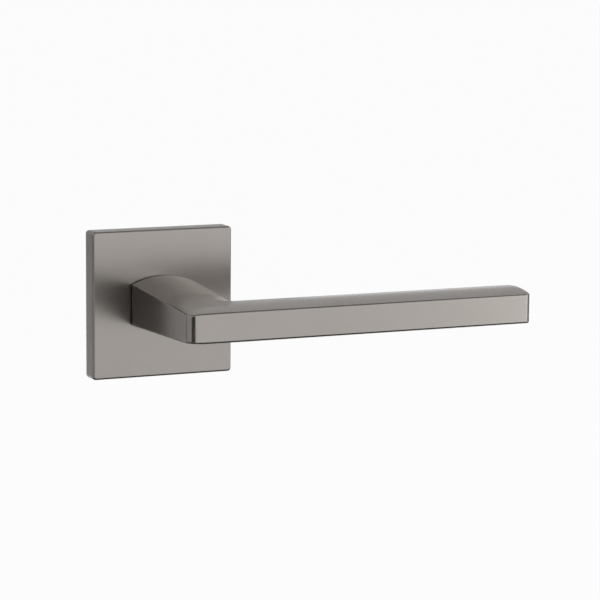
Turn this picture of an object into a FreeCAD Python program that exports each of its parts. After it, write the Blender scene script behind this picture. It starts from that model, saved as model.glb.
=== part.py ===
"""Door lever handle on a square rose: one side of a door set, with its return-spring cassette.

Millimetres. +X runs along the grip, +Y into the door, +Z up. The origin is where the spindle's axis
crosses the face of the door. Places along the axis are given as depths, which count from the door
towards the room, so a depth of 7 is at Y = -7.

Two bodies: the rose, which is fixed to the door, and the lever, which turns on the spindle's axis and
takes the spindle, the spring driver and its own retaining rings with it.
"""

import FreeCAD, Part

import math
import os

Vector = FreeCAD.Vector
INTO_DOOR = Vector(0, 1, 0)
UP = Vector(0, 0, 1)

# ---- rose: a square cap over the cassette ------------------------------------------------------------
ROSE_SIDE = 52.0
ROSE_DEPTH = 7.0
ROSE_FRONT_WALL = 1.0
ROSE_SIDE_WALL = 1.4
ROSE_EDGE = 0.7  # rounding of the front edges, and of the base plate's corners
ROSE_CORNER = 1.2  # rounding of the cover's four corners

# ---- lever: a crowned bar that turns square out of a neck --------------------------------------------
BAR_WIDTH = 21.9  # front face to back face
BAR_SIDE_HEIGHT = 10.0  # height of the flat front face
BAR_CROWN = 1.45  # rise of the domed top above the front face's edge
NECK_WIDTH = 23.7  # where it meets the rose
NECK_SIDE_HEIGHT = 14.3  # the neck's flank where it meets the rose
NECK_CROWN = 2.75
NECK_TAPER_SHARE = 0.5  # share of the bar's width, from its front, where the taper of the neck's sides ends
NECK_DRAFT = 1.6  # how much further out the flank is at the front than at the rose
PROJECTION = 65.2  # door to front face
REACH = 114.9  # spindle's axis to the free end of the grip
OUTER_CHAMFER = 1.8  # across the bend's outer corner
FLANK_ROUNDING = 0.8  # plan radius where the chamfer meets the flank
FRONT_ROUNDING = 3.8  # plan radius where the chamfer meets the front face
BEND_POWER = 10.0  # how closely the crown follows the bend's square outer corner
INNER_CORNER = 4.0  # plan radius of the bend's inner corner
END_CORNER = 1.8  # plan radius of the grip's two end corners
LEVER_EDGE = 0.6  # rounding of the long edges
SHADOW_GAP = 0.8  # between the rose's front and the neck

# ---- spindle, and the lever's shank round it ---------------------------------------------------------
SPINDLE = 8.0
SOCKET_PLAY = 0.05  # each side of the spindle in its square holes
SPINDLE_INSERT = 27.0  # depth that the spindle reaches into the neck
SOCKET_SPARE = 1.5
SPINDLE_BACK = 58.0  # length behind the door's face
SPINDLE_CHAMFER = 0.8
SHANK_WALL = 2.3  # outside the corners of the square socket
SHANK_TIP = 0.5  # length left behind the ring's groove
RUNNING = 0.05  # radial clearance of a turning fit
AXIAL_PLAY = 0.05
GRUB_R = 3.0
GRUB_SINK = 0.25  # how far its end lies under the neck's surface
GRUB_DEPTH = 15.0  # depth of its axis
GRUB_HEX = 3.0
GRUB_HEX_DEPTH = 2.6
GRUB_CHAMFER = 0.4
THREAD_PLAY = 0.05

# ---- bush and rings that hold the shank in the rose --------------------------------------------------
BUSH_WALL = 0.65
BUSH_LIP = 0.6  # how far the flange reaches past the bush
RING_SINK = 0.7  # depth of the circlip's groove in the shank
RING_BAND = 2.85
RING_THICK = 0.8
RING_OPENING = 50.0  # degrees of the circlip's gap
RING_LUG_R = 1.3
RING_LUG_HOLE_R = 0.6
RING_PLAY = 0.05
WASHER_BAND = 2.8
THRUST_THICK = 0.3
CONE_THICK = 0.25
CONE_RISE = 0.25
CONE_CLEAR = 0.3  # between the dished washer's bore and the shank

# ---- cassette: base plate, driver, springs, lid ------------------------------------------------------
BASE_CLEAR = 0.2  # between base plate and the rose's side walls
BASE_BACK_WALL = 1.0
LID_THICK = 0.5
LID_ROOM = 0.5  # between the lid and the rose's front wall
HUB_WALL = 0.65  # outside the corners of the driver's square hole
HUB_FLOOR = 0.15  # the hub stops this short of the door
WELL_CLEAR = 2.4  # round the circlip
DRIVER_CLEAR = 0.3  # between the driver's rim and its well
DRIVER_LIFT = 0.1  # running gap under the driver
DRIVER_GAP = 0.8  # between the driver and the shank's end
CHANNEL_WIDTH = 5.3
LUG_CLEAR = 0.5  # between a lug and the channel's outer wall
LUG_HEADROOM = 0.3  # between a lug and the lid
LUG_ANGLE = 12.0
SPRING_ANGLE = 76.0  # arc that each return spring fills at rest
SPRING_START = 50.0  # angle of the top spring's fixed end, from +X towards +Z
SPRING_CLEAR = 0.25  # under and over a spring
SPRING_WIRE = 0.55
SPRING_PLAY = 0.3  # gap at each end of a spring
CHANNEL_SPARE = 1.6  # degrees of free arc past the lug
TRAVEL = 45.0  # the lever's full turn, degrees
STOP_ANGLE = 180.0
STOP_R = 1.0
STOP_INSET = 1.3  # from the driver's rim to the stop post's centre
STOP_CLEAR = 0.15
LID_MARGIN = 2.4  # lid past the channels
LID_LIP = 0.8  # lid over the driver's rim
RIVET_R = 0.9
RIVET_HEAD_R = 1.6
RIVET_HEAD = 0.2
RIVET_INSET = 2.9  # from the well's wall
RIVET_BEFORE = 20.0  # degrees before a channel starts
RIVET_AFTER = 10.4  # degrees past a channel's end
RIVET_LENGTH = 3.2

# ---- fixings: threaded posts, wood screws, rose clips ------------------------------------------------
POST_SPACING = 38.0
POST_R = 3.5
POST_BACK = 9.0  # length behind the door's face
POST_FLANGE = 0.8  # how far the head reaches past the post
POST_HEAD = 1.2
POST_BORE_R = 1.65  # core of an M4 thread
POST_MOUTH = 0.5  # chamfer at the thread's mouth
SCREW_INSET = 6.5  # from the rose's edges
SCREW_R = 1.5
SCREW_HEAD_R = 3.0
SCREW_BACK = 16.0
SCREW_POINT = 3.5
SCREW_PLAY = 0.1
SCREW_RECESS = 0.8  # width of the arms of its cross recess
SCREW_RECESS_DEPTH = 1.0
CLIP_AT = 8.0  # either side of the middle, on the top and bottom edges
CLIP_WIDTH = 8.0
CLIP_THICK = 0.4
CLIP_POCKET = 2.4
CLIP_BUMP = 0.35
CLIP_RAMP = 0.7  # length of the bump's slopes
CLIP_CREST = 0.2  # half the length of the bump's flat top
CLIP_PLAY = 0.1
CLIP_BACK = 1.0  # depth of a clip's fold
CLIP_SINK = 0.6  # clip's ends below the front of the base plate
GROOVE_HEIGHT = 1.6
GROOVE_DEPTH = 0.4

# ---- depths and radii that follow --------------------------------------------------------------------
WALL_BACK = ROSE_DEPTH - ROSE_FRONT_WALL
NECK_FOOT = ROSE_DEPTH + SHADOW_GAP
NECK_HALF = NECK_WIDTH / 2
BAR_BACK = PROJECTION - BAR_WIDTH
FLANK_FRONT = NECK_HALF + NECK_DRAFT
FLANK_SLOPE = NECK_DRAFT / (PROJECTION - NECK_FOOT)
INNER_SLOPE = (NECK_HALF + FLANK_FRONT - BAR_WIDTH) / (PROJECTION - NECK_FOOT)  # as wide as the grip in front

SOCKET_SIDE = SPINDLE + 2 * SOCKET_PLAY
SHANK_R = SOCKET_SIDE / math.sqrt(2) + SHANK_WALL
RING_SEAT_R = SHANK_R - RING_SINK
RING_OUTER_R = RING_SEAT_R + RING_BAND
WASHER_R = SHANK_R + WASHER_BAND
BUSH_R = SHANK_R + RUNNING + BUSH_WALL

# the rings on the shank, counted back from the rose's front wall
CONE_FRONT = WALL_BACK - AXIAL_PLAY
CONE_BACK = CONE_FRONT - CONE_THICK - CONE_RISE
THRUST_FRONT = CONE_BACK - AXIAL_PLAY
RING_FRONT = THRUST_FRONT - THRUST_THICK - AXIAL_PLAY
RING_BACK = RING_FRONT - RING_THICK
SHANK_END = RING_BACK - RING_PLAY - SHANK_TIP

BASE_DEPTH = WALL_BACK - LID_ROOM - LID_THICK
ROSE_INNER = ROSE_SIDE - 2 * ROSE_SIDE_WALL
BASE_SIDE = ROSE_INNER - 2 * BASE_CLEAR
HUB_R = SOCKET_SIDE / math.sqrt(2) + HUB_WALL
WELL_R = RING_OUTER_R + WELL_CLEAR
CHANNEL_R = WELL_R + CHANNEL_WIDTH
DRIVER_R = WELL_R - DRIVER_CLEAR
DRIVER_BACK = BASE_BACK_WALL + DRIVER_LIFT
DRIVER_FRONT = SHANK_END - DRIVER_GAP
LUG_START = SPRING_START + SPRING_ANGLE
CHANNEL_END = LUG_START + LUG_ANGLE + CHANNEL_SPARE
SPRING_R = (BASE_DEPTH - BASE_BACK_WALL) / 2 - SPRING_CLEAR
SPRING_ARC_R = (WELL_R + CHANNEL_R) / 2
SPRING_DEPTH = (BASE_BACK_WALL + BASE_DEPTH) / 2
STOP_AT = DRIVER_R - STOP_INSET
HALF_TURNS = (0, 180)  # the cassette's two springs and lugs face each other across the axis
TOLERANCE = 0.001  # for telling which edges lie in a plane
CLIP_FRONT = BASE_DEPTH - CLIP_SINK
CLIP_MIDDLE = (CLIP_BACK + CLIP_FRONT) / 2


# ---- small helpers -----------------------------------------------------------------------------------
def disc(radius, depth_back, depth_front, x=0.0, z=0.0):
    """Round solid along the spindle's direction, between two depths."""
    return Part.makeCylinder(radius, depth_front - depth_back, Vector(x, -depth_front, z), INTO_DOOR)


def ring(outer, inner, depth_back, depth_front):
    return disc(outer, depth_back, depth_front).cut(disc(inner, depth_back, depth_front))


def block(width, height, depth_back, depth_front, x=0.0, z=0.0):
    """Box centred on (x, z), between two depths."""
    corner = Vector(x - width / 2, -depth_front, z - height / 2)
    return Part.makeBox(width, depth_front - depth_back, height, corner)


def polar(radius, degrees):
    angle = math.radians(degrees)
    return radius * math.cos(angle), radius * math.sin(angle)


def sector(inner, outer, start, end, depth_back, depth_front):
    """Solid arc of a ring from one angle to another, both in degrees from +X towards +Z."""
    def at(radius, degrees):
        x, z = polar(radius, degrees)
        return Vector(x, -depth_front, z)

    middle = (start + end) / 2
    wire = Part.Wire([
        Part.Arc(at(inner, start), at(inner, middle), at(inner, end)).toShape(),
        Part.makeLine(at(inner, end), at(outer, end)),
        Part.Arc(at(outer, end), at(outer, middle), at(outer, start)).toShape(),
        Part.makeLine(at(outer, start), at(inner, start)),
    ])
    return Part.Face(wire).extrude(INTO_DOOR * (depth_front - depth_back))


def turned(profile, x=0.0, z=0.0):
    """Solid turned about the axis through (x, z) from a closed profile of (radius, depth) points."""
    corners = [Vector(x + r, -depth, z) for r, depth in profile]
    face = Part.Face(Part.makePolygon(corners + corners[:1]))
    return face.revolve(Vector(x, 0, z), INTO_DOOR, 360)


def hexagon(across_flats, centre, axis, length):
    """Six-sided prism for a socket, starting at centre and running along axis."""
    corner_r = across_flats / math.sqrt(3)
    side = Vector(1, 0, 0)
    other = axis.cross(side)
    corners = []
    for step in range(6):
        angle = math.radians(60 * step)
        corners.append(centre + side * (corner_r * math.cos(angle)) + other * (corner_r * math.sin(angle)))
    return Part.Face(Part.makePolygon(corners + corners[:1])).extrude(axis * length)


def rounded(shape, radius, wanted):
    """The shape with a fillet on each edge that wanted(edge) picks."""
    return shape.makeFillet(radius, [edge for edge in shape.Edges if wanted(edge)])


# ---- lever -------------------------------------------------------------------------------------------
def outer_flank(depth):
    """X of the neck's outer side: it leans outwards from the rose to the front."""
    return -NECK_HALF - FLANK_SLOPE * (depth - NECK_FOOT)


def inner_flank(depth):
    return NECK_HALF - INNER_SLOPE * (depth - NECK_FOOT)


def plan_outline():
    """The lever's outline seen from above, as a closed wire with its corners rounded."""
    corners = [  # (x, depth, radius)
        (-NECK_HALF, NECK_FOOT, 0.0),
        (-FLANK_FRONT, PROJECTION - OUTER_CHAMFER, FLANK_ROUNDING),
        (OUTER_CHAMFER - FLANK_FRONT, PROJECTION, FRONT_ROUNDING),
        (REACH, PROJECTION, END_CORNER),
        (REACH, BAR_BACK, END_CORNER),
        (inner_flank(BAR_BACK), BAR_BACK, INNER_CORNER),
        (NECK_HALF, NECK_FOOT, 0.0),
    ]
    edges, first, last = [], None, None
    for index, (x, depth, radius) in enumerate(corners):
        here = Vector(x, -depth, 0)
        before = Vector(corners[index - 1][0], -corners[index - 1][1], 0)
        nxt = corners[(index + 1) % len(corners)]
        after = Vector(nxt[0], -nxt[1], 0)
        towards_before = (before - here).normalize()
        towards_after = (after - here).normalize()
        if radius:
            half_turn = towards_before.getAngle(towards_after) / 2
            start = here + towards_before * (radius / math.tan(half_turn))
            end = here + towards_after * (radius / math.tan(half_turn))
            bisector = (towards_before + towards_after).normalize()
            middle = here + bisector * (radius / math.sin(half_turn) - radius)
        else:
            start = end = here
        if last is not None:
            edges.append(Part.makeLine(last, start))
        if radius:
            edges.append(Part.Arc(start, middle, end).toShape())
        first = first or start
        last = end
    edges.append(Part.makeLine(last, first))
    return Part.Wire(edges)


def section_lines():
    """Lines across the lever from its outer to its inner side, from the neck's foot to the grip's end.

    Each is (outer x, outer depth, inner x, inner depth). Round the bend they fan out from the centre of
    the inner corner, and the outer ends follow the bend's soft outer corner.
    """
    margin = 3.0
    lines = []
    bend_start = BAR_BACK - INNER_CORNER
    bend_x = inner_flank(BAR_BACK) + INNER_CORNER
    neck_steps, bend_steps, bar_steps = 7, 12, 12
    for step in range(neck_steps):
        depth = NECK_FOOT - margin + (bend_start - NECK_FOOT + margin) * step / neck_steps
        lines.append((outer_flank(depth), depth, inner_flank(depth), depth))
    across = bend_x - outer_flank(bend_start)
    ahead = PROJECTION - bend_start
    for step in range(bend_steps + 1):
        angle = math.pi / 2 * step / bend_steps
        left, forward = math.cos(angle), math.sin(angle)
        to_flank = max(0.0, left - FLANK_SLOPE * forward) / across
        to_front = forward / ahead
        reach = (to_flank ** BEND_POWER + to_front ** BEND_POWER) ** (-1 / BEND_POWER)
        lines.append((
            bend_x - left * reach, bend_start + forward * reach,
            bend_x - left * INNER_CORNER, bend_start + forward * INNER_CORNER,
        ))
    for step in range(1, bar_steps + 1):
        x = bend_x + (REACH + margin - bend_x) * step / bar_steps
        lines.append((x, PROJECTION, x, BAR_BACK))
    return lines


def side_height(depth):
    """Half the height of the section whose outer side is at this depth: the neck tapers, the grip doesn't."""
    taper_end = PROJECTION - BAR_WIDTH * NECK_TAPER_SHARE / 2
    share = max(0.0, (taper_end - depth) / (taper_end - NECK_FOOT))
    return (BAR_SIDE_HEIGHT + (NECK_SIDE_HEIGHT - BAR_SIDE_HEIGHT) * share) / 2


def crown_height(depth):
    """Rise of the dome over the sides of the section whose outer side is at this depth."""
    taper_end = PROJECTION - BAR_WIDTH * NECK_TAPER_SHARE
    share = max(0.0, (taper_end - depth) / (taper_end - NECK_FOOT))
    return BAR_CROWN + (NECK_CROWN - BAR_CROWN) * share


def crowned_top():
    """The domed surface over the whole lever, a little larger than its outline."""
    outer_spare, inner_spare, columns = 0.08, 0.05, 12
    # 0 at the outer side, 1 at the inner side
    shares = [(1 + outer_spare + inner_spare) * step / columns - outer_spare for step in range(columns + 1)]
    rows = []
    for outer_x, outer_depth, inner_x, inner_depth in section_lines():
        side = side_height(outer_depth)
        crown = crown_height(outer_depth)
        row = []
        for share in shares:
            x = outer_x + (inner_x - outer_x) * share
            depth = outer_depth + (inner_depth - outer_depth) * share
            row.append(Vector(x, -depth, side + crown * 4 * share * (1 - share)))
        rows.append(row)
    surface = Part.BSplineSurface()
    surface.interpolate(rows)
    return surface.toShape()


def make_lever_shell():
    """Neck and grip as one casting, before its shank and socket."""
    tall = NECK_SIDE_HEIGHT + NECK_CROWN * 4
    plan = Part.Face(plan_outline())
    plan.translate(UP * -tall)
    body = plan.extrude(UP * (2 * tall))
    top = crowned_top()
    below_top = top.extrude(UP * (-2 * tall))
    above_bottom = below_top.mirror(Vector(0, 0, 0), UP)
    body = body.common(below_top).common(above_bottom)

    def long_edge(edge):
        box = edge.BoundBox
        upright = box.ZMin < 0 < box.ZMax
        in_foot = box.YMin > -NECK_FOOT - TOLERANCE
        return not upright and not in_foot

    return rounded(body.Solids[0], LEVER_EDGE, long_edge)


def make_lever():
    body = make_lever_shell()
    body = body.fuse(disc(SHANK_R, SHANK_END, NECK_FOOT + SHADOW_GAP))
    groove = ring(SHANK_R + RING_SINK, RING_SEAT_R, RING_BACK - RING_PLAY, RING_FRONT + RING_PLAY)
    socket = block(SOCKET_SIDE, SOCKET_SIDE, SHANK_END, SPINDLE_INSERT + SOCKET_SPARE)
    middle = Vector(0, -GRUB_DEPTH, 0)
    tapped = Part.makeCylinder(GRUB_R + THREAD_PLAY, NECK_SIDE_HEIGHT, middle, UP * -1)
    return body.cut(groove).cut(socket).cut(tapped).removeSplitter()


def make_spindle():
    body = block(SPINDLE, SPINDLE, -SPINDLE_BACK, SPINDLE_INSERT)
    ends = (-SPINDLE_INSERT, SPINDLE_BACK)

    def end_edge(edge):
        box = edge.BoundBox
        return box.YLength < TOLERANCE and any(abs(box.YMin - end) < TOLERANCE for end in ends)

    return body.makeChamfer(SPINDLE_CHAMFER, [edge for edge in body.Edges if end_edge(edge)])


def make_grub_screw():
    """Set screw in the neck's underside: its inner end bears on the spindle."""
    inner_end = SPINDLE / 2
    outer_end = side_height(GRUB_DEPTH) + crown_height(GRUB_DEPTH) - GRUB_SINK
    start = Vector(0, -GRUB_DEPTH, -inner_end)
    body = Part.makeCylinder(GRUB_R, outer_end - inner_end, start, UP * -1)
    rims = [edge for edge in body.Edges if edge.BoundBox.ZLength < TOLERANCE]
    body = body.makeChamfer(GRUB_CHAMFER, rims)
    return body.cut(hexagon(GRUB_HEX, Vector(0, -GRUB_DEPTH, -outer_end), UP, GRUB_HEX_DEPTH))


def make_neck_bush():
    """Plastic bearing in the rose's hole. Its flange keeps the neck off the rose's front."""
    inner = SHANK_R + RUNNING
    body = ring(BUSH_R, inner, WALL_BACK, ROSE_DEPTH)
    flange = ring(BUSH_R + BUSH_LIP, inner, ROSE_DEPTH, NECK_FOOT - AXIAL_PLAY)
    return body.fuse(flange).removeSplitter()


def make_cone_washer():
    """Dished spring washer that takes up the lever's play: rim against the rose, bore against the washer."""
    inner = SHANK_R + CONE_CLEAR
    return turned([
        (inner, CONE_BACK), (inner, CONE_BACK + CONE_THICK),
        (WASHER_R, CONE_FRONT), (WASHER_R, CONE_FRONT - CONE_THICK),
    ])


def make_thrust_washer():
    return ring(WASHER_R, SHANK_R + RUNNING, THRUST_FRONT - THRUST_THICK, THRUST_FRONT)


def make_circlip():
    """Ring sprung into the shank's groove, with two lugs for pliers beside its opening."""
    inner = RING_SEAT_R + RING_PLAY
    body = ring(RING_OUTER_R, inner, RING_BACK, RING_FRONT)
    opening = (270 - RING_OPENING / 2, 270 + RING_OPENING / 2)
    body = body.cut(sector(inner / 2, RING_OUTER_R + RING_BAND, *opening, RING_BACK, RING_FRONT))
    for angle in opening:
        x, z = polar((inner + RING_OUTER_R) / 2, angle)
        body = body.fuse(disc(RING_LUG_R, RING_BACK, RING_FRONT, x, z))
        body = body.cut(disc(RING_LUG_HOLE_R, RING_BACK, RING_FRONT, x, z))
    return body.cut(disc(inner, RING_BACK, RING_FRONT)).removeSplitter()


# ---- rose cover --------------------------------------------------------------------------------------
def clip_places():
    """(name, x, which side) of the four clips: side is 1 at the top edge and -1 at the bottom one."""
    places = []
    for side_name, side in (("top", 1), ("bottom", -1)):
        for hand_name, hand in (("left", -1), ("right", 1)):
            places.append((f"{side_name}_{hand_name}", hand * CLIP_AT, side))
    return places


def make_rose_cover():
    body = block(ROSE_SIDE, ROSE_SIDE, 0, ROSE_DEPTH)
    body = rounded(body, ROSE_CORNER, lambda edge: edge.BoundBox.YLength > ROSE_DEPTH / 2)
    body = rounded(body, ROSE_EDGE, lambda edge: edge.BoundBox.YMax < -ROSE_EDGE)
    body = body.cut(block(ROSE_INNER, ROSE_INNER, 0, WALL_BACK))
    body = body.cut(disc(BUSH_R, WALL_BACK, ROSE_DEPTH))
    half = GROOVE_HEIGHT / 2
    for _, x, side in clip_places():
        length = CLIP_WIDTH + 2 * CLIP_PLAY
        z = side * ROSE_INNER / 2
        body = body.cut(block(length, 2 * GROOVE_DEPTH, CLIP_MIDDLE - half, CLIP_MIDDLE + half, x, z))
    return body


def make_cover_clip(x, side):
    """Folded spring-steel strip whose bump snaps into the groove inside the rose cover."""
    inner = BASE_SIDE / 2 - CLIP_POCKET + CLIP_PLAY
    outer = BASE_SIDE / 2
    crest = outer + BASE_CLEAR + CLIP_BUMP
    foot = CLIP_CREST + CLIP_RAMP
    outside = [
        (inner, CLIP_BACK), (outer, CLIP_BACK), (outer, CLIP_MIDDLE - foot),
        (crest, CLIP_MIDDLE - CLIP_CREST), (crest, CLIP_MIDDLE + CLIP_CREST),
        (outer, CLIP_MIDDLE + foot), (outer, CLIP_FRONT),
    ]
    inside = [(z - CLIP_THICK, depth) for z, depth in reversed(outside[2:])]
    folded = [
        (outer - CLIP_THICK, CLIP_BACK + CLIP_THICK), (inner + CLIP_THICK, CLIP_BACK + CLIP_THICK),
        (inner + CLIP_THICK, CLIP_FRONT), (inner, CLIP_FRONT),
    ]
    corners = [Vector(x - CLIP_WIDTH / 2, -depth, side * z) for z, depth in outside + inside + folded]
    face = Part.Face(Part.makePolygon(corners + corners[:1]))
    return face.extrude(Vector(CLIP_WIDTH, 0, 0))


# ---- cassette ----------------------------------------------------------------------------------------
def post_places():
    return [("left", -POST_SPACING / 2), ("right", POST_SPACING / 2)]


def screw_places():
    half = ROSE_SIDE / 2 - SCREW_INSET
    return [(x, z) for x in (-half, half) for z in (-half, half)]


def rivet_places():
    beside_channel = (SPRING_START - RIVET_BEFORE, CHANNEL_END + RIVET_AFTER)
    return [polar(WELL_R + RIVET_INSET, angle + turn) for turn in HALF_TURNS for angle in beside_channel]


def screw_profile(play):
    """Head radius, shank radius and depth of the cone's foot of a countersunk screw grown by play."""
    head = SCREW_HEAD_R + play
    shank = SCREW_R + play
    return head, shank, BASE_DEPTH - (head - shank)


def make_base_plate():
    body = block(BASE_SIDE, BASE_SIDE, 0, BASE_DEPTH)
    body = rounded(body, ROSE_EDGE, lambda edge: edge.BoundBox.YLength > BASE_DEPTH / 2)
    body = body.cut(disc(WELL_R, BASE_BACK_WALL, BASE_DEPTH))
    body = body.cut(disc(HUB_R + RUNNING, 0, BASE_BACK_WALL))
    for turn in HALF_TURNS:
        start, end = SPRING_START + turn, CHANNEL_END + turn
        body = body.cut(sector(DRIVER_R, CHANNEL_R, start, end, BASE_BACK_WALL, BASE_DEPTH))
    for _, x in post_places():
        body = body.cut(disc(POST_R, 0, BASE_DEPTH, x))
        body = body.cut(disc(POST_R + POST_FLANGE, BASE_DEPTH - POST_HEAD, BASE_DEPTH, x))
    head, shank, neck = screw_profile(SCREW_PLAY)
    for x, z in screw_places():
        hole = [(0, 0), (shank, 0), (shank, neck), (head, BASE_DEPTH), (0, BASE_DEPTH)]
        body = body.cut(turned(hole, x, z))
    for x, z in rivet_places():
        body = body.cut(disc(RIVET_R, BASE_DEPTH - RIVET_LENGTH, BASE_DEPTH, x, z))
    for _, x, side in clip_places():
        z = side * (BASE_SIDE - CLIP_POCKET) / 2
        length = CLIP_WIDTH + 2 * CLIP_PLAY
        body = body.cut(block(length, CLIP_POCKET, CLIP_BACK - CLIP_PLAY, BASE_DEPTH, x, z))
    x, z = polar(STOP_AT, STOP_ANGLE)
    stop = disc(STOP_R, BASE_BACK_WALL / 2, DRIVER_FRONT, x, z)
    return body.fuse(stop).removeSplitter()


def make_spring_driver():
    """Cam on the spindle: two lugs push the springs, and a slot round the stop post ends its turn."""
    body = disc(DRIVER_R, DRIVER_BACK, DRIVER_FRONT)
    body = body.fuse(disc(HUB_R, HUB_FLOOR, DRIVER_BACK))
    for turn in HALF_TURNS:
        start = LUG_START + turn
        end = start + LUG_ANGLE
        foot = sector(HUB_R, CHANNEL_R - LUG_CLEAR, start, end, DRIVER_BACK, DRIVER_FRONT)
        lug = sector(WELL_R, CHANNEL_R - LUG_CLEAR, start, end, DRIVER_BACK, BASE_DEPTH - LUG_HEADROOM)
        body = body.fuse(foot).fuse(lug)
    body = body.cut(block(SOCKET_SIDE, SOCKET_SIDE, 0, BASE_DEPTH))
    spare = math.degrees((STOP_R + STOP_CLEAR) / STOP_AT)
    start, end = STOP_ANGLE - spare, STOP_ANGLE + TRAVEL + spare
    inner = STOP_AT - STOP_R - STOP_CLEAR
    body = body.cut(sector(inner, CHANNEL_R, start, end, DRIVER_BACK, DRIVER_FRONT))
    return body.removeSplitter()


def make_return_spring(turn):
    """Envelope of one coil spring along its arc: a bent tube with the coil's outer and inner size."""
    play = math.degrees(SPRING_PLAY / SPRING_ARC_R)
    start = SPRING_START + turn + play
    x, z = polar(SPRING_ARC_R, start)
    centre = Vector(x, -SPRING_DEPTH, z)
    along = Vector(-math.sin(math.radians(start)), 0, math.cos(math.radians(start)))
    tubes = []
    for radius in (SPRING_R, SPRING_R - SPRING_WIRE):
        section = Part.Face(Part.Wire(Part.Circle(centre, along, radius).toShape()))
        tubes.append(section.revolve(Vector(0, 0, 0), INTO_DOOR * -1, SPRING_ANGLE - 2 * play))
    return tubes[0].cut(tubes[1])


def make_cassette_lid():
    back, front = BASE_DEPTH, BASE_DEPTH + LID_THICK
    body = ring(CHANNEL_R + LID_MARGIN, WELL_R - LID_LIP, back, front)
    for _, x in post_places():
        body = body.cut(disc(POST_R + POST_FLANGE + BASE_CLEAR, back, front, x))
    for x, z in rivet_places():
        body = body.cut(disc(RIVET_R, back, front, x, z))
    return body


def make_lid_rivets():
    solids = []
    lid_front = BASE_DEPTH + LID_THICK
    for x, z in rivet_places():
        shank = disc(RIVET_R, BASE_DEPTH - RIVET_LENGTH, lid_front, x, z)
        head = disc(RIVET_HEAD_R, lid_front, lid_front + RIVET_HEAD, x, z)
        solids.append(shank.fuse(head).removeSplitter())
    return Part.makeCompound(solids)


# ---- fixings -----------------------------------------------------------------------------------------
def make_threaded_post(x):
    """Sleeve pressed into the base plate. It enters the door, and the far side's bolt screws into it."""
    flare = POST_BORE_R + POST_MOUTH
    head = POST_R + POST_FLANGE
    return turned([
        (POST_BORE_R, BASE_DEPTH), (head, BASE_DEPTH), (head, BASE_DEPTH - POST_HEAD),
        (POST_R, BASE_DEPTH - POST_HEAD), (POST_R, POST_MOUTH - POST_BACK),
        (POST_R - POST_MOUTH, -POST_BACK), (flare, -POST_BACK), (POST_BORE_R, POST_MOUTH - POST_BACK),
    ], x)


def make_wood_screws():
    head, shank, neck = screw_profile(0.0)
    point_start = SCREW_POINT - SCREW_BACK
    solids = []
    for x, z in screw_places():
        body = turned([
            (0, -SCREW_BACK), (SCREW_R, point_start), (shank, neck), (head, BASE_DEPTH), (0, BASE_DEPTH),
        ], x, z)
        for width, height in ((SCREW_RECESS, 2 * SCREW_R), (2 * SCREW_R, SCREW_RECESS)):
            body = body.cut(block(width, height, BASE_DEPTH - SCREW_RECESS_DEPTH, BASE_DEPTH, x, z))
        solids.append(body)
    return Part.makeCompound(solids)


# ---- export ------------------------------------------------------------------------------------------
def all_parts():
    parts = {
        "lever": make_lever(),
        "grub_screw": make_grub_screw(),
        "spindle": make_spindle(),
        "neck_bush": make_neck_bush(),
        "cone_spring_washer": make_cone_washer(),
        "thrust_washer": make_thrust_washer(),
        "circlip": make_circlip(),
        "rose_cover": make_rose_cover(),
        "base_plate": make_base_plate(),
        "spring_driver": make_spring_driver(),
        "return_spring_top": make_return_spring(HALF_TURNS[0]),
        "return_spring_bottom": make_return_spring(HALF_TURNS[1]),
        "cassette_lid": make_cassette_lid(),
        "lid_rivets": make_lid_rivets(),
        "wood_screws": make_wood_screws(),
    }
    for hand, x in post_places():
        parts[f"threaded_post_{hand}"] = make_threaded_post(x)
    for name, x, side in clip_places():
        parts[f"cover_clip_{name}"] = make_cover_clip(x, side)
    return parts


os.makedirs("parts", exist_ok=True)
for name, shape in all_parts().items():
    shape.exportStep("parts/" + name + ".step")
    print(f"{name}: {len(shape.Solids)} solid(s), {shape.Volume:.1f} mm3, valid {shape.isValid()}")
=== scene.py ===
import math

import bmesh
import bpy
from mathutils import Matrix, Vector


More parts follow.
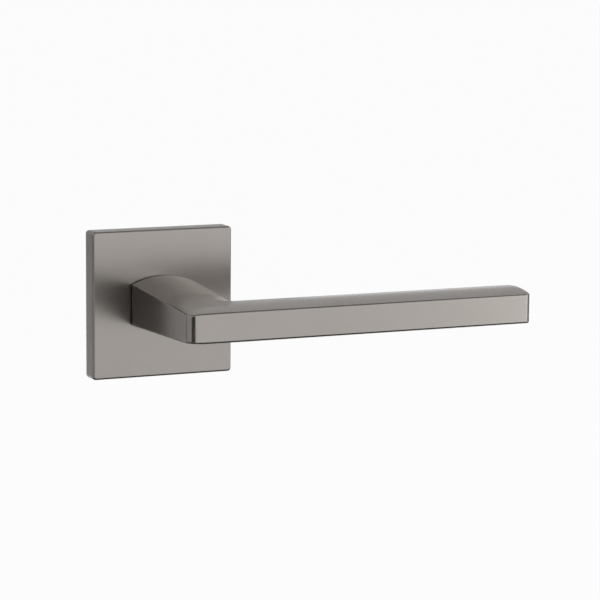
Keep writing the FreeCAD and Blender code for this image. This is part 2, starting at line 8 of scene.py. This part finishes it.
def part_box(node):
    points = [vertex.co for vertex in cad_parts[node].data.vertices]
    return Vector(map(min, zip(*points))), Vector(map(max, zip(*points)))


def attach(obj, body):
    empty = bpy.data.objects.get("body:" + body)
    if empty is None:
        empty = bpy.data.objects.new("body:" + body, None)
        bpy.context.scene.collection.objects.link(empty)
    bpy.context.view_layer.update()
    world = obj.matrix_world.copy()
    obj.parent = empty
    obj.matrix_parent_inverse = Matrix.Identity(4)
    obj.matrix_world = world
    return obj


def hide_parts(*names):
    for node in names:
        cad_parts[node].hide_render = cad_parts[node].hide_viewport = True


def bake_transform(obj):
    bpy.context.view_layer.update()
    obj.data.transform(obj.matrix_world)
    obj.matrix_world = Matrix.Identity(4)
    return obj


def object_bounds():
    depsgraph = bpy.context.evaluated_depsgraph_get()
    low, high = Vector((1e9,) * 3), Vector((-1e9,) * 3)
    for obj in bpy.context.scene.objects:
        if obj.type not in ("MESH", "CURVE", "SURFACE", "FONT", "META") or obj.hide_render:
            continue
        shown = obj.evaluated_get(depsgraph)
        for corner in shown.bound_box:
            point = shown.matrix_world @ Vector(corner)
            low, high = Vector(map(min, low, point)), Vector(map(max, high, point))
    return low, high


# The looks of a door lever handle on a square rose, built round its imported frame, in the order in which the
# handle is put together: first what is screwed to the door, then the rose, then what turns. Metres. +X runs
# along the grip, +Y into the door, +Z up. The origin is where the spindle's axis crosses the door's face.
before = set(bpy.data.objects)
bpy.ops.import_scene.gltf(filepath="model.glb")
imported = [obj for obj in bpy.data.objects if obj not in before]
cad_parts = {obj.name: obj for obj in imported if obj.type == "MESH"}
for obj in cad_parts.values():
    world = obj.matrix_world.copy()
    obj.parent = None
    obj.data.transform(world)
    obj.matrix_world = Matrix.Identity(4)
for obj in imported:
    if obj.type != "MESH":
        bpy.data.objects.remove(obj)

cad_low, cad_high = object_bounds()
MM = 0.001


# ---- base plate and spring driver ----------------------------------------------------------------------
# The housing of the return springs, screwed to the door, and the cam that the spindle turns in it. Both are
# pressure die cast in zinc alloy and tumbled, which leaves a dull grey, faintly mottled, finely grained skin.
def linear(hex_colour):
    """Linear RGBA of an sRGB colour written as six hex digits."""
    channels = [int(hex_colour[i:i + 2], 16) / 255 for i in (0, 2, 4)]
    return [c / 12.92 if c <= 0.04045 else ((c + 0.055) / 1.055) ** 2.4 for c in channels] + [1.0]


def add_node(material, kind, values=None, links=None, **settings):
    """One shader node: its settings, its sockets' values, and the nodes or sockets that feed it.

    Sockets are given by name, or by number where several share a name.
    """
    tree = material.node_tree
    node = tree.nodes.new("ShaderNode" + kind)
    for name, value in settings.items():
        setattr(node, name, value)
    usable = [socket for socket in node.inputs if socket.enabled]

    def socket_called(key):
        if isinstance(key, int):
            return usable[key]
        return next(socket for socket in usable if socket.name == key)

    for key, value in (values or {}).items():
        socket_called(key).default_value = value
    for key, source in (links or {}).items():
        if isinstance(source, bpy.types.Node):
            source = next(socket for socket in source.outputs if socket.enabled)
        tree.links.new(source, socket_called(key))
    return node


def new_material(name):
    material = bpy.data.materials.new(name)
    material.use_nodes = True
    material.node_tree.nodes.clear()
    return material


def per_metre(millimetres):
    """Texture scale whose features are that many millimetres apart."""
    return 1 / (millimetres * MM)


def die_cast_zinc():
    """Tumbled casting: patchy grey from the flow of the metal, pits a quarter of a millimetre apart."""
    material = new_material("die_cast_zinc")
    place = add_node(material, "TexCoord").outputs["Object"]
    flow = add_node(material, "TexNoise", {"Scale": per_metre(4), "Detail": 4.0, "Distortion": 1.2},
                    {"Vector": place})
    grain = add_node(material, "TexNoise", {"Scale": per_metre(0.25), "Detail": 3.0}, {"Vector": place})
    colour = add_node(material, "Mix", {"A": linear("84878b"), "B": linear("a6a8aa")}, {"Factor": flow},
                      data_type="RGBA")
    roughness = add_node(material, "MapRange", {"To Min": 0.42, "To Max": 0.6}, {"Value": flow})
    bump = add_node(material, "Bump", {"Strength": 0.35, "Distance": 0.03 * MM}, {"Height": grain})
    metal = add_node(material, "BsdfPrincipled", {"Metallic": 1.0},
                     {"Base Color": colour, "Roughness": roughness, "Normal": bump})
    add_node(material, "OutputMaterial", links={"Surface": metal})
    return material


def give_finish(material, *nodes):
    for name in nodes:
        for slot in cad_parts[name].material_slots:
            slot.material = material


give_finish(die_cast_zinc(), "base_plate", "spring_driver")


# ---- threaded posts, lid and rivets --------------------------------------------------------------------
# Posts turned from free-cutting steel, tapped M4 and pressed into the base plate, and the pressed lid of the
# cassette with its four rivets. All are zinc plated and passivated: bright, a little blue, faintly clouded.
THREAD_STEPS = 24  # faces in one turn of a thread
THREAD_HALF_WIDTH = 0.3 * MM  # of its ridge, at the foot
MERGE_WITHIN = 0.0001 * MM  # corners nearer than this become one
SHARP_FROM = math.radians(35)  # edges that turn by more than this stay crisp


def zinc_plate(name, marks_along):
    """Bright plating: clouds of the passivation 3 mm across over tool marks 0.15 mm apart.

    The marks run along the directions in which the scale in marks_along is small.
    """
    material = new_material(name)
    place = add_node(material, "TexCoord").outputs["Object"]
    cloud = add_node(material, "TexNoise", {"Scale": per_metre(3), "Detail": 3.0}, {"Vector": place})
    along = add_node(material, "Mapping", {"Scale": marks_along}, {"Vector": place})
    marks = add_node(material, "TexNoise", {"Scale": per_metre(0.15), "Detail": 2.0}, {"Vector": along})
    colour = add_node(material, "Mix", {"A": linear("a9afb6"), "B": linear("c9c9c2")}, {"Factor": cloud},
                      data_type="RGBA")
    roughness = add_node(material, "MapRange", {"To Min": 0.26, "To Max": 0.34}, {"Value": cloud})
    bump = add_node(material, "Bump", {"Strength": 0.15, "Distance": 0.01 * MM}, {"Height": marks})
    metal = add_node(material, "BsdfPrincipled", {"Metallic": 1.0},
                     {"Base Color": colour, "Roughness": roughness, "Normal": bump})
    add_node(material, "OutputMaterial", links={"Surface": metal})
    return material


plated = zinc_plate("zinc_plate_turned", marks_along=(0.1, 1.0, 0.1))
give_finish(plated, "cassette_lid", "lid_rivets")


def helical_ridge(foot_r, crest_r, pitch, start, end):
    """Bmesh of a three-cornered thread round Y, which rises in its first turn and runs out in its last."""
    mesh = bmesh.new()
    section = ((foot_r, -THREAD_HALF_WIDTH), (crest_r, 0.0), (foot_r, THREAD_HALF_WIDTH))
    corners = [mesh.verts.new((r, start + along, 0)) for r, along in section]
    sides = [mesh.edges.new((corners[i - 1], corners[i])) for i in range(3)]
    steps = round((end - start) / pitch * THREAD_STEPS)
    bmesh.ops.spin(mesh, geom=corners + sides, cent=(0, 0, 0), axis=(0, 1, 0), steps=steps,
                   dvec=(0, pitch / THREAD_STEPS, 0), angle=2 * math.pi * steps / THREAD_STEPS)
    bmesh.ops.holes_fill(mesh, edges=mesh.edges, sides=3)
    for vert in mesh.verts:
        height = max(0.0, min(1.0, (vert.co.y - start) / pitch, (end - vert.co.y) / pitch))
        radius = math.hypot(vert.co.x, vert.co.z)
        wanted = foot_r + (radius - foot_r) * height
        vert.co.x *= wanted / radius
        vert.co.z *= wanted / radius
    bmesh.ops.recalc_face_normals(mesh, faces=mesh.faces)
    return mesh


def joined(*meshes, centre=(0, 0, 0)):
    """One bmesh of several, each freed, with the first as it is and the rest moved to centre."""
    whole = meshes[0]
    for extra in meshes[1:]:
        bmesh.ops.translate(extra, verts=extra.verts, vec=centre)
        data = bpy.data.meshes.new("extra")
        extra.to_mesh(data)
        extra.free()
        whole.from_mesh(data)
        bpy.data.meshes.remove(data)
    return whole


def merged_copy(node):
    """Bmesh of a CAD node with its loose triangles joined."""
    mesh = bmesh.new()
    mesh.from_mesh(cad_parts[node].data)
    bmesh.ops.remove_doubles(mesh, verts=mesh.verts, dist=MERGE_WITHIN)
    return mesh


def add_piece(name, mesh, material, slot, *replaced):
    """Object of a finished bmesh that stands for CAD nodes, smooth but for its real edges."""
    data = bpy.data.meshes.new(name)
    mesh.to_mesh(data)
    mesh.free()
    data.shade_smooth()
    data.set_sharp_from_angle(angle=SHARP_FROM)
    data.materials.clear()
    data.materials.append(material)
    piece = bpy.data.objects.new(name, data)
    bpy.context.scene.collection.objects.link(piece)
    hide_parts(*replaced)
    return piece


POST_CORE_R = 1.65 * MM  # the thread's crest, and the plain bore of the frame's posts
POST_ROOT_R = 2.0 * MM
POST_RIDGE_SINK = 0.02 * MM  # how far the ridge's foot reaches into the wall
POST_PITCH = 0.7 * MM  # M4
POST_MOUTH = 0.5 * MM  # left plain at each end
for hand in ("left", "right"):
    node = "threaded_post_" + hand
    low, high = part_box(node)
    axis_x = (low.x + high.x) / 2
    post = merged_copy(node)
    for vert in post.verts:
        radius = math.hypot(vert.co.x - axis_x, vert.co.z)
        if radius < (POST_CORE_R + POST_ROOT_R) / 2:
            vert.co.x = axis_x + (vert.co.x - axis_x) * POST_ROOT_R / radius
            vert.co.z *= POST_ROOT_R / radius
    thread = helical_ridge(POST_ROOT_R + POST_RIDGE_SINK, POST_CORE_R, POST_PITCH, low.y + POST_MOUTH,
                           high.y - POST_MOUTH)
    post = joined(post, thread, centre=(axis_x, 0, 0))
    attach(add_piece("post_with_thread_" + hand, post, plated, "zinc_plated_steel", node), "rose")


# ---- wood screws ---------------------------------------------------------------------------------------
# Four countersunk screws that hold the base plate to the door: cold headed from steel wire, the thread
# rolled on behind a plain neck and drawn to a point, then zinc plated.
SCREW_HEAD_R = 3.0 * MM
SCREW_NECK_R = 1.5 * MM
SCREW_CORE_R = 1.0 * MM
SCREW_RIDGE_SINK = 0.05 * MM  # how far the ridge's foot reaches into the core
SCREW_PITCH = 1.35 * MM
SCREW_NECK_END = 1.2 * MM  # behind the door's face
SCREW_POINT = 3.5 * MM  # length of the tapered end
screws_low, screws_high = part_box("wood_screws")


def lathe(profile, steps):
    """Bmesh turned about the Y axis from an open profile of (radius, y) points."""
    mesh = bmesh.new()
    points = [mesh.verts.new((r, y, 0)) for r, y in profile]
    lines = [mesh.edges.new(pair) for pair in zip(points, points[1:])]
    bmesh.ops.spin(mesh, geom=points + lines, cent=(0, 0, 0), axis=(0, 1, 0), steps=steps, angle=2 * math.pi,
                   use_merge=True)
    bmesh.ops.remove_doubles(mesh, verts=mesh.verts, dist=MERGE_WITHIN)
    bmesh.ops.recalc_face_normals(mesh, faces=mesh.faces)
    return mesh


def screw_shaft():
    """Core and thread of one screw: the thread shrinks with the core towards the point."""
    tip = screws_high.y
    point_start = tip - SCREW_POINT
    core = lathe(((0, 0), (SCREW_NECK_R, 0), (SCREW_NECK_R, SCREW_NECK_END),
                  (SCREW_CORE_R, SCREW_NECK_END + SCREW_NECK_R - SCREW_CORE_R),
                  (SCREW_CORE_R, point_start), (0, tip)), THREAD_STEPS)
    thread = helical_ridge(SCREW_CORE_R - SCREW_RIDGE_SINK, SCREW_NECK_R, SCREW_PITCH,
                           SCREW_NECK_END + SCREW_PITCH / 2, tip)
    for vert in thread.verts:
        share = min(1.0, max(0.0, (tip - vert.co.y) / SCREW_POINT))
        vert.co.x *= share
        vert.co.z *= share
    return joined(core, thread)


screws = merged_copy("wood_screws")
bmesh.ops.bisect_plane(screws, geom=screws.verts[:] + screws.edges[:] + screws.faces[:],
                       plane_co=(0, SCREW_NECK_END / 2, 0), plane_no=(0, 1, 0), clear_outer=True)
bmesh.ops.holes_fill(screws, edges=screws.edges)
for x in (screws_low.x + SCREW_HEAD_R, screws_high.x - SCREW_HEAD_R):
    for z in (screws_low.z + SCREW_HEAD_R, screws_high.z - SCREW_HEAD_R):
        screws = joined(screws, screw_shaft(), centre=(x, 0, z))
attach(add_piece("wood_screws_with_thread", screws, plated, "zinc_plated_steel", "wood_screws"), "rose")


# ---- return springs, clips, washers and circlip --------------------------------------------------------
# Everything springy: coils of drawn wire, clips and washers stamped from hardened strip, the circlip. The
# steel is oil tempered, which leaves it dark grey-brown with a thin oily shine.
def tempered_steel():
    """Dark oxide over rolled steel. Its rolling lines, a tenth of a millimetre apart, are drawn coarser."""
    material = new_material("tempered_steel")
    place = add_node(material, "TexCoord").outputs["Object"]
    stain = add_node(material, "TexNoise", {"Scale": per_metre(2), "Detail": 4.0}, {"Vector": place})
    across = add_node(material, "Mapping", {"Scale": (0.06, 1.0, 1.0)}, {"Vector": place})
    lines = add_node(material, "TexNoise", {"Scale": per_metre(0.2), "Detail": 2.0}, {"Vector": across})
    colour = add_node(material, "Mix", {"A": linear("4a4846"), "B": linear("77736c")}, {"Factor": stain},
                      data_type="RGBA")
    roughness = add_node(material, "MapRange", {"To Min": 0.28, "To Max": 0.42}, {"Value": stain})
    bump = add_node(material, "Bump", {"Strength": 0.2, "Distance": 0.02 * MM}, {"Height": lines})
    metal = add_node(material, "BsdfPrincipled", {"Metallic": 1.0},
                     {"Base Color": colour, "Roughness": roughness, "Normal": bump})
    add_node(material, "OutputMaterial", links={"Surface": metal})
    return material


tempered = tempered_steel()
give_finish(
    tempered, "cone_spring_washer", "thrust_washer", "circlip", "cover_clip_top_left", "cover_clip_top_right",
    "cover_clip_bottom_left", "cover_clip_bottom_right",
)

SPRING_ARC_R = 15.23 * MM  # spindle's axis to the middle of the coil
SPRING_OUTER_R = 1.75 * MM
SPRING_WIRE = 0.55 * MM
SPRING_TURNS = 11
SPRING_START = math.radians(51.13)  # the end that rests on the base plate, from +X towards +Z
SPRING_ARC = math.radians(73.74)
SPRING_STEPS = 20  # in one turn
WIRE_SIDES = 8


def coil_spring(turned_by):
    """Bmesh of one spring: a straight coil spun from the wire's section and then bent round the spindle."""
    length = SPRING_ARC_R * SPRING_ARC
    pitch = (length - SPRING_WIRE) / SPRING_TURNS
    mesh = bmesh.new()
    bmesh.ops.create_circle(mesh, segments=WIRE_SIDES, radius=SPRING_WIRE / 2, cap_ends=False)
    coil_r = SPRING_OUTER_R - SPRING_WIRE / 2
    bmesh.ops.translate(mesh, verts=mesh.verts, vec=(coil_r, SPRING_WIRE / 2, 0))
    steps = SPRING_TURNS * SPRING_STEPS
    bmesh.ops.spin(mesh, geom=mesh.verts[:] + mesh.edges[:], cent=(0, 0, 0), axis=(0, 1, 0), steps=steps,
                   dvec=(0, pitch / SPRING_STEPS, 0), angle=2 * math.pi * SPRING_TURNS)
    bmesh.ops.holes_fill(mesh, edges=mesh.edges, sides=WIRE_SIDES)
    spring_low, spring_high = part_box("return_spring_top")
    middle_y = (spring_low.y + spring_high.y) / 2
    for vert in mesh.verts:
        outward, along, sideways = vert.co
        angle = turned_by + SPRING_START + along / SPRING_ARC_R
        radius = SPRING_ARC_R + outward
        vert.co = (radius * math.cos(angle), middle_y + sideways, radius * math.sin(angle))
    bmesh.ops.recalc_face_normals(mesh, faces=mesh.faces)
    return mesh


for hand, turned_by in (("top", 0.0), ("bottom", math.pi)):
    spring = add_piece("coil_spring_" + hand, coil_spring(turned_by), tempered, "spring_steel",
                       "return_spring_" + hand)
    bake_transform(spring)


# ---- neck bush -----------------------------------------------------------------------------------------
# The bearing between rose and neck, injection moulded in black nylon and pressed into the rose's front wall.
# Only its flange's edge shows, in the gap between them.
def black_nylon():
    """Moulded against a spark-eroded tool: matt black with a grain a fifth of a millimetre across."""
    material = new_material("black_nylon")
    place = add_node(material, "TexCoord").outputs["Object"]
    grain = add_node(material, "TexNoise", {"Scale": per_metre(0.2), "Detail": 3.0}, {"Vector": place})
    colour = add_node(material, "Mix", {"A": linear("161616"), "B": linear("232323")}, {"Factor": grain},
                      data_type="RGBA")
    bump = add_node(material, "Bump", {"Strength": 0.3, "Distance": 0.02 * MM}, {"Height": grain})
    plastic = add_node(material, "BsdfPrincipled", {"Roughness": 0.55, "IOR": 1.53},
                       {"Base Color": colour, "Normal": bump})
    add_node(material, "OutputMaterial", links={"Surface": plastic})
    return material


give_finish(black_nylon(), "neck_bush")


# ---- rose cover and lever ------------------------------------------------------------------------------
# The square cap, which snaps over the base plate's clips, and the lever, which turns in it. Both are zinc
# die castings, ground, brushed with fine abrasive and plated in graphite nickel: a soft metallic sheen with
# hardly a line to be seen, a little warmer than neutral.
DULLER_BY = 0.06  # how much rougher the dull brush lines are than the smooth ones


def satin_graphite(name, lines_along, smooth, spread):
    """Satin metal whose brush lines run along the direction in which the scale in lines_along is small.

    smooth is the lowest roughness, and spread is how much further a reflection runs across the lines.
    """
    material = new_material(name)
    place = add_node(material, "TexCoord").outputs["Object"]
    cloud = add_node(material, "TexNoise", {"Scale": per_metre(12), "Detail": 2.0}, {"Vector": place})
    stretched = add_node(material, "Mapping", {"Scale": lines_along}, {"Vector": place})
    brush = add_node(material, "TexNoise", {"Scale": per_metre(0.3), "Detail": 3.0}, {"Vector": stretched})
    colour = add_node(material, "Mix", {"A": linear("a29d98"), "B": linear("a7a29d")}, {"Factor": cloud},
                      data_type="RGBA")
    roughness = add_node(material, "MapRange", {"To Min": smooth, "To Max": smooth + DULLER_BY},
                         {"Value": brush})
    bump = add_node(material, "Bump", {"Strength": 0.03, "Distance": 0.02 * MM}, {"Height": brush})
    # the rose's lines stand upright and nothing turns it, so that its reflections spread along X
    across = add_node(material, "VectorTransform", {"Vector": (1.0, 0.0, 0.0)}, vector_type="VECTOR",
                      convert_from="OBJECT", convert_to="WORLD")
    metal = add_node(material, "BsdfPrincipled", {"Metallic": 1.0, "Anisotropic": spread},
                     {"Base Color": colour, "Roughness": roughness, "Normal": bump, "Tangent": across})
    add_node(material, "OutputMaterial", links={"Surface": metal})
    return material


satin_rose = satin_graphite("satin_graphite_rose", lines_along=(1.0, 1.0, 0.03), smooth=0.27, spread=0.5)
satin_lever = satin_graphite("satin_graphite_lever", lines_along=(0.03, 1.0, 1.0), smooth=0.18, spread=0.0)
give_finish(satin_rose, "rose_cover")
give_finish(satin_lever, "lever")


# ---- spindle -------------------------------------------------------------------------------------------
# Square bar drawn in steel, zinc plated like the posts, with bevelled ends. It turns the lock's follower.
# The marks of its drawing run along it, so faint under the plating that they only soften reflections.
give_finish(zinc_plate("zinc_plate_drawn", marks_along=(1.0, 0.02, 1.0)), "spindle")


# ---- grub screw ----------------------------------------------------------------------------------------
# Set screw with a hexagon socket under the neck, which clamps the lever to the spindle. Hardened steel,
# with a black oxide skin that holds a film of oil.
def black_oxide():
    """Blackened steel: nearly black, with patches where the oil film is thinner."""
    material = new_material("black_oxide")
    place = add_node(material, "TexCoord").outputs["Object"]
    film = add_node(material, "TexNoise", {"Scale": per_metre(1.5), "Detail": 4.0}, {"Vector": place})
    colour = add_node(material, "Mix", {"A": linear("1f1f20"), "B": linear("3a3938")}, {"Factor": film},
                      data_type="RGBA")
    roughness = add_node(material, "MapRange", {"To Min": 0.3, "To Max": 0.45}, {"Value": film})
    metal = add_node(material, "BsdfPrincipled", {"Metallic": 1.0},
                     {"Base Color": colour, "Roughness": roughness})
    add_node(material, "OutputMaterial", links={"Surface": metal})
    return material


give_finish(black_oxide(), "grub_screw")


# ---- floor, cards and flags ----------------------------------------------------------------------------
# A plain white floor under the handle. Cards and flags stand all round it, as in a product studio, so that
# the satin metal has pale, grey and black things to reflect: flags for its dark lines, cards for the steps
# of grey from face to face.
def stage_card(name, width, height, place, facing, material):
    """Flat card of a stage, its middle at place and its face turned to the point it faces."""
    mesh = bmesh.new()
    bmesh.ops.create_grid(mesh, x_segments=1, y_segments=1, size=0.5)
    turn = (Vector(facing) - Vector(place)).to_track_quat("Z", "Y").to_matrix().to_4x4()
    stretch = Matrix.Diagonal((width, height, 1, 1))
    bmesh.ops.transform(mesh, matrix=Matrix.Translation(place) @ turn @ stretch, verts=mesh.verts)
    data = bpy.data.meshes.new(name)
    mesh.to_mesh(data)
    mesh.free()
    data.materials.append(material)
    card = bpy.data.objects.new(name, data)
    bpy.context.scene.collection.objects.link(card)
    return card


def matt_paint(name, colour):
    """Plain emulsion, as on a painted board."""
    material = new_material(name)
    paint = add_node(material, "BsdfPrincipled", {"Base Color": linear(colour), "Roughness": 0.9})
    add_node(material, "OutputMaterial", links={"Surface": paint})
    return material


SHADOW_SHARE = 0.25  # how much of the floor's own shading is left where the camera or a mirror sees it


def white_floor():
    """Matt white that the camera and polished metal see as lit evenly, but for a soft shadow."""
    material = new_material("white_floor")
    rays = add_node(material, "LightPath").outputs
    seen = add_node(material, "Math", links={0: rays["Is Camera Ray"], 1: rays["Is Glossy Ray"]},
                    operation="MAXIMUM")
    seen = add_node(material, "Math", links={0: seen, 1: rays["Is Transmission Ray"]}, operation="MAXIMUM")
    share = add_node(material, "Math", {1: 1 - SHADOW_SHARE}, {0: seen}, operation="MULTIPLY")
    paint = add_node(material, "BsdfDiffuse", {"Color": linear("f2f2f2")})
    even = add_node(material, "Emission", {"Color": linear("ffffff"), "Strength": 1.0})
    surface = add_node(material, "MixShader", links={0: share, 1: paint, 2: even})
    add_node(material, "OutputMaterial", links={"Surface": surface})
    return material


FLOOR_DROP = 0.32
FLOOR_SIZE = 60.0
stage_card("floor", FLOOR_SIZE, FLOOR_SIZE, (0, 0, cad_low.z - FLOOR_DROP), (0, 0, 1), white_floor())

centre = (cad_low + cad_high) / 2


def towards(azimuth, elevation):
    """Direction away from the handle: azimuth 0 is in front of the door, 90 past the grip's end."""
    turn, lift = math.radians(azimuth), math.radians(elevation)
    return Vector((math.sin(turn) * math.cos(lift), -math.cos(turn) * math.cos(lift), math.sin(lift)))


# each with its azimuth and elevation in degrees, its distance, width and height in metres, and its grey
for name, azimuth, elevation, distance, width, height, grey in (
    ("flag_at_camera", -24, -6, 1.3, 0.88, 1.0, "060606"),
    ("card_left", -70, 0, 1.3, 1.2, 1.6, "b4b4b4"),
    ("flag_far_left", -110, 0, 1.25, 0.6, 1.6, "101010"),
    ("card_behind_left", -152, -5, 1.5, 1.9, 1.6, "a4a4a4"),
    ("card_behind_right", 148, 12, 1.5, 2.4, 1.7, "c8c8c8"),
    ("card_behind_low", 138, 0, 1.2, 0.76, 0.44, "f4f4f4"),
    ("card_right", 104, 0, 1.3, 0.9, 1.6, "8c8c8c"),
    ("card_beside_lamp", 70, 0, 1.3, 0.95, 1.6, "a6a6a6"),
    ("flag_in_front", 0, 45, 1.3, 1.6, 0.9, "8a8a8a"),
    ("flag_behind", -178, 33, 1.2, 0.6, 0.4, "101010"),
    ("flag_above", 170, 86, 1.3, 2.0, 2.0, "8c8c8c"),
    ("flag_below", 0, -90, 0.3, 1.4, 1.4, "545454"),
):
    place = centre + towards(azimuth, elevation) * distance
    card = stage_card(name, width, height, place, centre, matt_paint(name, grey))
    # only what is polished sees it, so that the floor stays evenly lit
    card.visible_camera = False
    card.visible_diffuse = False
    card.visible_shadow = False


# ---- light ---------------------------------------------------------------------------------------------
# An even white surround lights everything softly. One large soft lamp in front on the right lifts the grip's
# front face towards its free end.
LAMP_SIZE = 0.9
LAMP_WATTS = 2.2
LAMP_AZIMUTH = 48
LAMP_ELEVATION = 5
LAMP_DISTANCE = 1.4

world = bpy.data.worlds.new("white_surround")
world.use_nodes = True
world.node_tree.nodes["Background"].inputs["Color"].default_value = linear("ffffff")
world.node_tree.nodes["Background"].inputs["Strength"].default_value = 1.0
bpy.context.scene.world = world

lamp_data = bpy.data.lights.new("soft_lamp_right", "AREA")
lamp_data.shape = "SQUARE"
lamp_data.size = LAMP_SIZE
lamp_data.energy = LAMP_WATTS
lamp = bpy.data.objects.new("soft_lamp_right", lamp_data)
lamp.location = centre + towards(LAMP_AZIMUTH, LAMP_ELEVATION) * LAMP_DISTANCE
lamp.rotation_mode = "QUATERNION"
lamp.rotation_quaternion = (lamp.location - centre).to_track_quat("Z", "Y")
bpy.context.scene.collection.objects.link(lamp)


# ---- camera --------------------------------------------------------------------------------------------
# A long lens from the left and a little above, almost a metre away, turned by under half a degree. It looks
# at the point on the door's face that lies behind the middle of the grip.
CAMERA_AZIMUTH = -24.08
CAMERA_ELEVATION = 8.69
CAMERA_ROLL = 0.45
CAMERA_DISTANCE = 0.9649
CAMERA_LENS = 160.0
CAMERA_TARGET = Vector((55.81, 0.0, -3.08)) * MM

back = towards(CAMERA_AZIMUTH, CAMERA_ELEVATION)
camera_data = bpy.data.cameras.new("camera")
camera_data.lens = CAMERA_LENS
camera = bpy.data.objects.new("camera", camera_data)
camera.location = CAMERA_TARGET + back * CAMERA_DISTANCE
camera.rotation_mode = "QUATERNION"
roll = Matrix.Rotation(math.radians(CAMERA_ROLL), 3, "Z").to_quaternion()
camera.rotation_quaternion = (-back).to_track_quat("-Z", "Y") @ roll
bpy.context.scene.collection.objects.link(camera)
bpy.context.scene.camera = camera
bpy.context.scene.view_settings.view_transform = "Standard"
